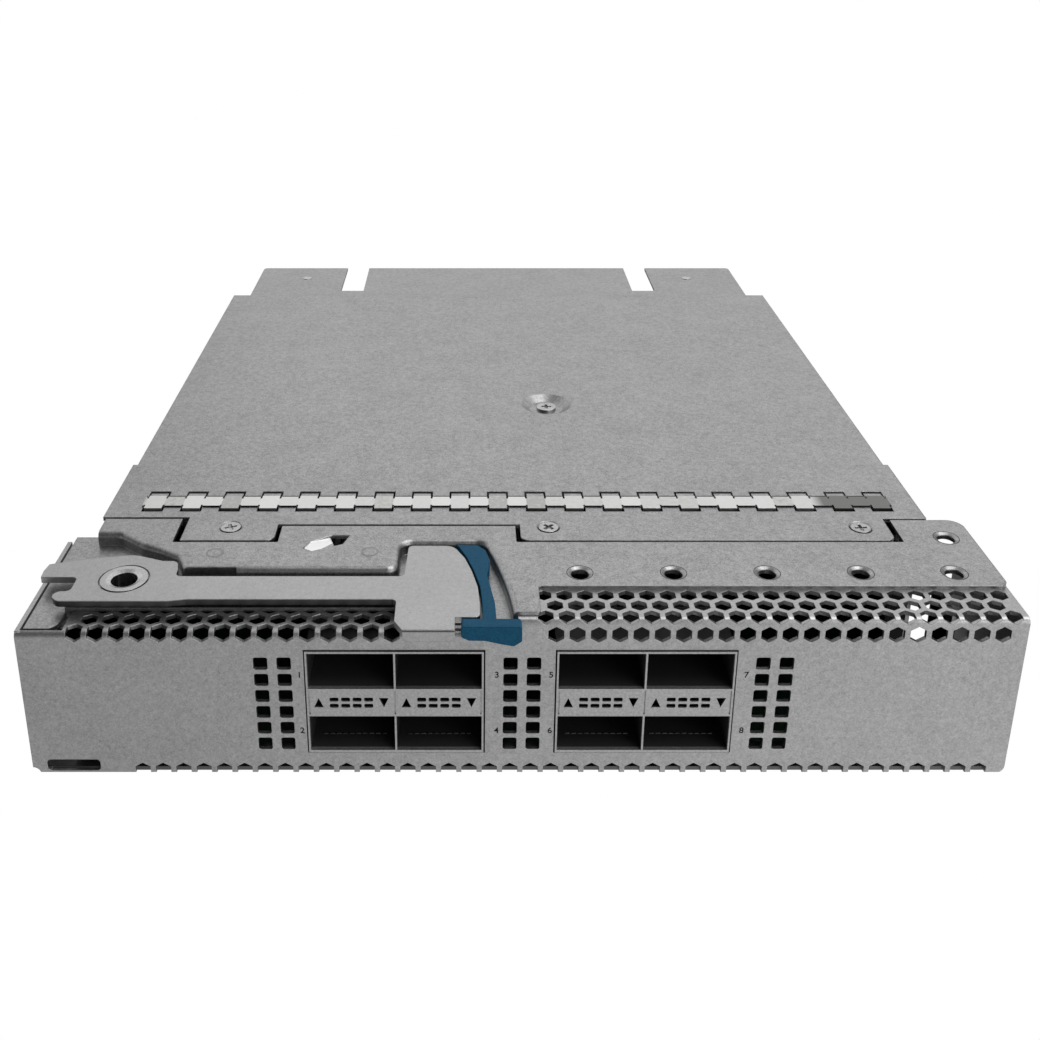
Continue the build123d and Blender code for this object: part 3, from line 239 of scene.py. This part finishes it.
zinc = metal(
    "zinc_plated_sheet",
    "828282",
    "B3B3B3",
    0.38,
    cell=1.0,
    grain=1.25,
    edge=0.4,
    clouds=0.1,
    areas=[INNER_SIDES_PAINTED_SHADE, LANCE_PAINTED_HIGHLIGHT],
)
zinc_face = metal(
    "zinc_plated_faceplate",
    "949494",
    "BEBEBE",
    0.4,
    cell=0.9,
    grain=1.0,
    edge=0.2,
    clouds=0.12,
    areas=[INNER_SIDES_PAINTED_SHADE, SLOT_BACK_PAINTED_SHADE, SILL_PAINTED_SHADE],
)
lever_metal = metal(
    "tumbled_plated_steel",
    "9A9A9A",
    "B8B8B8",
    0.36,
    cell=1.0,
    grain=1.0,
    edge=0.25,
    clouds=0.15,
    areas=[ARM_FRONT_PAINTED_SHADE, FOLD_PAINTED_SHADE],
)
screw_metal = metal(
    "bright_plated_screw", "8C8C8C", "CECECE", 0.28, cell=0.6, grain=1.1, edge=0.3, relief=0.04
)
rivet_metal = metal(
    "plain_plated_rivet", "A0A0A0", "CECECE", 0.26, cell=0.8, grain=0.8, edge=0.15
)
sink_metal = metal("extruded_aluminium", "7E8184", "A2A5A8", 0.4, cell=1.5, grain=0.4)


# %% [markdown]
# The contact strip bows a little from tab to tab, so its sections, half a tab pitch long, catch
# the light unevenly; this is painted as a tone per section. The last 18 mm at the right are painted
# dark as shade, and the sheared edges between the tabs are painted dark as shade too.

# %% Contact strip
TAB_PITCH = 9.4
TAB_HALF = 2.25
FIRST_TAB = -88.4
STRIP_LEFT = -90.75
STRIP_TOP = ((-95.0, 95.0), (46.42, 50.9), (39.0, 42.0))
PAINTED_SHADE_FROM, PAINTED_SHADE_TO = 73.5, 76.5


def strip_material():
    """Bright strip whose tone is a random number per section plus 0.5 * (grain - 0.5).

    The section is floor((x - left end) / length). A place is bright on the strip's top, or where
    x is less than half a tab from the middle of one. Else it is a sheared edge painted dark as
    shade.
    """
    mat, tree, where = new_material("bright_spring_strip")
    x = separate(tree, where)["X"]
    length = TAB_PITCH / 2
    scaled = calc(tree, "MULTIPLY_ADD", x, 1 / (length * MM), -STRIP_LEFT / length)
    section = calc(tree, "FLOOR", scaled)
    chance = add(tree, "ShaderNodeTexWhiteNoise", {"noise_dimensions": "1D"}, W=section)
    grain = noise(tree, where, Scale=900.0, Detail=2.0)
    smear = calc(tree, "MULTIPLY_ADD", grain, 0.5, -0.25)
    value = calc(tree, "ADD", chance.outputs["Value"], smear)
    tone = ramp(tree, value, [(0.0, "ACACAA"), (0.15, "C2C2C0"), (0.4, "CFCFCE"), (1.0, "DCDCDB")])
    # Painted shade: from x = 73.5 mm to 76.5 mm the strip fades to dark grey, which holds to its
    # right end.
    end_shade = rise(tree, x, PAINTED_SHADE_FROM * MM, PAINTED_SHADE_TO * MM)
    end_shaded_tone = blend(tree, end_shade, tone, srgb("747472"))
    top = inside(tree, where, STRIP_TOP)
    turned = calc(
        tree, "MULTIPLY_ADD", x, 1 / (TAB_PITCH * MM), (TAB_PITCH / 2 - FIRST_TAB) / TAB_PITCH
    )
    part = calc(tree, "FRACT", turned)
    tab = calc(tree, "COMPARE", part, 0.5, TAB_HALF / TAB_PITCH)
    lit = calc(tree, "MAXIMUM", top, tab)
    # Painted shade: off the strip's top and its tabs, the colour is dark grey.
    colour = blend(tree, lit, srgb("3C3C3C"), end_shaded_tone)
    normal = soft_edges(tree, 0.08)
    principled(tree, Base_Color=colour, Metallic=1.0, Roughness=0.36, Normal=normal)
    return mat


spring_metal = strip_material()


# %% [markdown]
# The stamped cage is satin steel at its front rim, and dark inside, where hardly any light comes.

# %% Cage metal
CAGE_RIM = (0.12, 0.9)
CAGE_METALLIC = 0.9


def cage_material():
    """Satin steel at the rim, near black behind it. Metallic is 0.9 * (1 - depth)."""
    mat, tree, where = new_material("stamped_cage_steel")
    depth = rise(tree, separate(tree, where)["Y"], *(FRONT + y * MM for y in CAGE_RIM))
    grain = noise(tree, where, Scale=1800.0, Detail=2.0)
    bright = ramp(tree, grain, [(0.3, "A2A2A2"), (0.7, "BCBCBC")])
    tone = blend(tree, depth, bright, srgb("303030"))
    bare = calc(tree, "MULTIPLY_ADD", depth, -CAGE_METALLIC, CAGE_METALLIC)
    principled(tree, Base_Color=tone, Metallic=bare, Roughness=0.45)
    return mat


cage_metal = cage_material()


# %% [markdown]
# ## Plastics, board and ink
#
# The plastics have a faint spark-eroded texture. The board's tracks are a brick pattern in three
# close greens.

# %% Other finishes
SPARK_TEXTURE = 0.35
SPARK_RELIEF = 0.012


def plastic(name, dark, light, roughness, edge=0.2, specular=0.5):
    """Moulded plastic between two colours, by one fine noise that also gives the relief."""
    mat, tree, where = new_material(name)
    grain = noise(tree, where, Scale=1000 / SPARK_TEXTURE, Detail=2.0)
    principled(
        tree,
        Base_Color=ramp(tree, grain, [(0.3, dark), (0.7, light)]),
        Roughness=roughness,
        Specular_IOR_Level=specular,
        Normal=bumps(tree, 0.3, SPARK_RELIEF, grain, soft_edges(tree, edge)),
    )
    return mat


def board_material():
    """Green solder mask with darker lines between its tracks."""
    mat, tree, where = new_material("green_solder_mask")
    bricks = add(
        tree,
        "ShaderNodeTexBrick",
        Vector=where,
        Color1=srgb("082213"),
        Color2=srgb("0A2A18"),
        Mortar=srgb("06190E"),
        Scale=260.0,
        Mortar_Size=0.03,
    )
    principled(tree, Base_Color=bricks.outputs["Color"], Roughness=0.35)
    return mat


blue = plastic("blue_moulded_latch", "07415C", "0D516F", 0.6, edge=0.45, specular=0.16)
black = plastic("black_connector_plastic", "161617", "222223", 0.45)
resin = plastic("black_moulding_resin", "111112", "1C1C1D", 0.6)
frosted = plastic("frosted_light_guide", "2C2E2F", "3A3C3D", 0.4)
ink = plastic("dark_print_ink", "050505", "080808", 0.9, edge=0.01)
mask = board_material()

finishes = {
    "zinc_steel": zinc,
    "zinc_steel_face": zinc_face,
    "lever_steel": lever_metal,
    "spring_steel": spring_metal,
    "rivet_steel": rivet_metal,
    "screw_steel": screw_metal,
    "cage_steel": cage_metal,
    "blue_plastic": blue,
    "black_plastic": black,
    "clear_plastic": frosted,
    "board_laminate": mask,
    "chip_resin": resin,
    "capacitor_can": sink_metal,
    "sink_aluminium": sink_metal,
}
slots = {row["node"]: row["material_slot"] for row in frame["record"]["subparts"]}
for name, obj in nodes.items():
    obj.data.materials.clear()
    obj.data.materials.append(finishes[slots[name]])
print("finishes given to", len(nodes), "CAD nodes")


# %% [markdown]
# ## Printed digits
#
# Each port has a plain number beside its cage, 1.5 mm tall, printed in dark ink on the faceplate.
# The print is a flat mesh 0.02 mm in front of the sheet. A digit is 0.72 of its font size tall.

# %% Prints
SKIN = 0.02
DIGIT_HEIGHT = 1.5
DIGIT_SHARE = 0.72
DIGIT_BOLD = 0.032
DIGIT_COLUMNS = (-47.2, -5.0, 6.6, 48.3)
UPPER_DIGIT, LOWER_DIGIT = 25.8, 11.4


def show(name, mesh, material):
    """Puts a mesh in the scene as a piece of the chassis."""
    mesh.materials.clear()
    mesh.materials.append(material)
    obj = bpy.data.objects.new(name, mesh)
    scene.collection.objects.link(obj)
    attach(obj, "chassis")


def print_digit(text, x, z):
    """A digit as a flat mesh on the faceplate, its middle at x, z."""
    curve = bpy.data.curves.new(f"digit_{text}", "FONT")
    curve.body = text
    curve.size = DIGIT_HEIGHT / DIGIT_SHARE * MM
    curve.align_x = "CENTER"
    curve.align_y = "CENTER"
    curve.offset = DIGIT_BOLD * MM
    temp = bpy.data.objects.new(f"digit_{text}_curve", curve)
    scene.collection.objects.link(temp)
    bpy.context.view_layer.update()
    graph = bpy.context.evaluated_depsgraph_get()
    flat = bpy.data.meshes.new_from_object(temp.evaluated_get(graph))
    bpy.data.objects.remove(temp)
    for v in flat.vertices:
        v.co = Vector((v.co.x + x * MM, FRONT - SKIN * MM, v.co.y + z * MM))
    show(f"digit_{text}", flat, ink)


for i, x in enumerate(DIGIT_COLUMNS):
    print_digit(str(2 * i + 1), x, UPPER_DIGIT)
    print_digit(str(2 * i + 2), x, LOWER_DIGIT)

# %% [markdown]
# ## Rings on the deck
#
# Two spot welds hold the deck to the beam below it, and each shows as a faint ring. A fine dark
# ring lies around each flared hole. All are flat annuli 0.02 mm above the sheet.

# %% Rings
DECK_TOP = 40.7
WELD_SPOTS = ((-69.1, 24.9), (-33.7, 25.4))
WELD_RING = (1.5, 2.1)
HOLE_SPOTS = [(13.71 + i * 20.82, 16.5) for i in range(5)] + [(100.8, 31.6)]
HOLE_RING = (2.82, 3.0)


def annulus(name, x, y, ring, material, sides):
    """Flat ring on the deck, between an inner and an outer radius."""
    turn = np.linspace(0, 2 * np.pi, sides, endpoint=False)
    rim = np.stack([np.cos(turn), np.sin(turn), np.zeros(sides)], axis=1)
    centre = np.array([x * MM, FRONT + y * MM, (DECK_TOP + SKIN) * MM])
    points = np.concatenate([centre + rim * radius * MM for radius in ring])
    after = [(i + 1) % sides for i in range(sides)]
    faces = [(i, sides + i, sides + j, j) for i, j in enumerate(after)]
    mesh = bpy.data.meshes.new(name)
    mesh.from_pydata(points.tolist(), [], faces)
    show(name, mesh, material)


weld_metal = metal("spot_weld_mark", "6E6E6E", "A2A2A2", 0.42, cell=0.8, grain=1.2)
for i, (x, y) in enumerate(WELD_SPOTS):
    annulus(f"weld_mark_{i + 1}", x, y, WELD_RING, weld_metal, 32)
dark_ring_metal = metal("dark_hole_ring", "303030", "5A5A5A", 0.5, cell=0.8, grain=0.8)
for i, (x, y) in enumerate(HOLE_SPOTS):
    annulus(f"hole_ring_{i + 1}", x, y, HOLE_RING, dark_ring_metal, 48)

# %% [markdown]
# ## Contacts
#
# The rear connectors get a gilt pin in each well. The floor of each lower port gets a row of
# small spring tips 5 mm behind the faceplate, which the photo shows as faint dashes.

# %% Contacts
WELL_PITCH, WELL_COLUMNS, WELL_ROWS = 2.4, 8, 6
WELL_FLOOR, WELL_MIDDLE = 219.0, 14.85
PIN_SIZE = (0.55, 4.2, 0.55)
CONNECTORS = (-76.0, -30.0, 0.0, 30.0, 76.0)
PORTS = (-36.275, -17.425, 17.425, 36.275)
TIP_SIZE = (1.0, 0.35, 0.06)
TIP_PITCH, TIP_COUNT = 1.45, 10
TIP_DEPTH, TIP_HEIGHT = 5.2, 6.53


def boxes(name, middles, size, material):
    """One mesh of equal boxes: each corner is middle + (sx, sy, sz) * size / 2, each s -1 or 1."""
    signs = np.array([(x, y, z) for x in (-1, 1) for y in (-1, 1) for z in (-1, 1)], float)
    sides = [(0, 1, 3, 2), (4, 6, 7, 5), (0, 4, 5, 1), (2, 3, 7, 6), (0, 2, 6, 4), (1, 5, 7, 3)]
    centres = np.array(middles, float)
    points = (centres[:, None, :] + signs[None] * np.array(size) / 2).reshape(-1, 3) * MM
    points[:, 1] += FRONT
    first = len(signs) * np.arange(len(centres))[:, None, None]
    faces = (np.array(sides)[None] + first).reshape(-1, 4)
    mesh = bpy.data.meshes.new(name)
    mesh.from_pydata(points.tolist(), [], faces.tolist())
    show(name, mesh, material)


def spread_out(count, pitch):
    """Places with a pitch around zero: (i - (count - 1) / 2) * pitch."""
    return [(i - (count - 1) / 2) * pitch for i in range(count)]


gilt = metal("gilt_contact", "B58A3C", "DDB868", 0.3, cell=0.8, grain=0.6, edge=0.05)
pins = [
    (x + across, WELL_FLOOR + PIN_SIZE[1] / 2, WELL_MIDDLE + up)
    for x in CONNECTORS
    for across in spread_out(WELL_COLUMNS, WELL_PITCH)
    for up in spread_out(WELL_ROWS, WELL_PITCH)
]
boxes("backplane_pins", pins, PIN_SIZE, gilt)
tips = [
    (x + across, TIP_DEPTH, TIP_HEIGHT)
    for x in PORTS
    for across in spread_out(TIP_COUNT, TIP_PITCH)
]
boxes("port_spring_tips", tips, TIP_SIZE, screw_metal)

# %% [markdown]
# ## Light, background and camera
#
# The photo is a cut-out on white, so camera rays see white. All other rays see a soft studio: a
# dim room with broad glows from below, from behind and above (mirrored by the deck), and from the
# right front (mirrored by the faceplate), and with smaller ones that light the rims, the left side
# and the walls of the recess. The glow of a direction d is the smooth step of d . axis.

# %% World
ROOM = 0.05
# Axis to the glow, the cosine where it starts, the cosine where it is full, and its strength
GLOWS = (
    ((0.0, 0.0, -1.0), -0.15, 0.5, 0.26),  # floor
    ((0.08, 0.76, 0.65), 0.35, 0.95, 0.5),  # behind and above, for the deck
    ((-0.75, 0.5, 0.42), 0.8, 0.98, 0.7),  # left and behind
    ((0.75, -0.53, -0.4), -0.1, 1.3, 0.76),  # right front, for the faceplate
    ((-0.8, -0.5, -0.2), 0.75, 1.0, 0.45),  # left front
    ((0.6, -0.75, 0.3), 0.8, 0.98, 0.65),  # right front and higher, for the rims
    ((0.4, -0.1, 0.91), 0.88, 0.97, 3.0),  # overhead, for the strip and the tab
)

world = bpy.data.worlds.new("studio")
scene.world = world
world.use_nodes = True
wt = world.node_tree
wt.nodes.clear()
direction = add(wt, "ShaderNodeTexCoord").outputs["Generated"]
light_sum = ROOM
for axis, start, full, strength in GLOWS:
    unit = Vector(axis).normalized()
    facing = add(wt, "ShaderNodeVectorMath", {"operation": "DOT_PRODUCT"}, i0=direction, i1=unit)
    glow = rise(wt, facing.outputs["Value"], start, full, strength, "SMOOTHSTEP")
    light_sum = calc(wt, "ADD", glow, light_sum)
studio = add(wt, "ShaderNodeBackground", Color=light_sum, Strength=1.0).outputs[0]
white = add(wt, "ShaderNodeBackground", Color=(1, 1, 1, 1), Strength=1.0).outputs[0]
seen = add(wt, "ShaderNodeLightPath").outputs["Is Camera Ray"]
mixed = add(wt, "ShaderNodeMixShader", i0=seen, i1=studio, i2=white)
add(wt, "ShaderNodeOutputWorld", Surface=mixed.outputs[0])


def soft_box(name, location, target, size, power):
    """Square area light at a place in metres, turned to a target."""
    data = bpy.data.lights.new(name, "AREA")
    data.shape = "SQUARE"
    data.size = size
    data.energy = power
    obj = bpy.data.objects.new(name, data)
    scene.collection.objects.link(obj)
    obj.location = location
    obj.rotation_mode = "QUATERNION"
    obj.rotation_quaternion = (Vector(target) - Vector(location)).to_track_quat("-Z", "Y")


soft_box("rear_soft_box", (0.15, 0.8, 0.75), (0, 0, 0.03), 1.2, 2.2)
soft_box("front_soft_box", (0.6, -0.8, 0.35), (0, -0.1, 0.03), 0.35, 0.8)

# %% [markdown]
# The photo's uprights are parallel although the camera looks down, as with a shift lens.
# The camera below was fitted to the photo's corners by least squares. Its axis passes 0.2 of the
# frame above the middle of the picture and 0.05 to the left of it.

# %% Camera
PITCH_DOWN = math.radians(19.68)
FOCAL_PX, PHOTO_PX = 1200.65, 1040
EYE = (-11.01, -215.35, 185.17)

cam_data = bpy.data.cameras.new("camera")
cam = bpy.data.objects.new("camera", cam_data)
scene.collection.objects.link(cam)
cam_data.sensor_width = 36.0
cam_data.sensor_fit = "HORIZONTAL"
cam_data.lens = FOCAL_PX * cam_data.sensor_width / PHOTO_PX
cam_data.shift_x = 0.0493
cam_data.shift_y = -0.2
cam_data.clip_start = 0.005
cam_data.clip_end = 20
cam.location = (EYE[0] * MM, FRONT + EYE[1] * MM, EYE[2] * MM)
cam.rotation_euler = (math.pi / 2 - PITCH_DOWN, 0, 0)
scene.camera = cam
scene.view_settings.view_transform = "Standard"
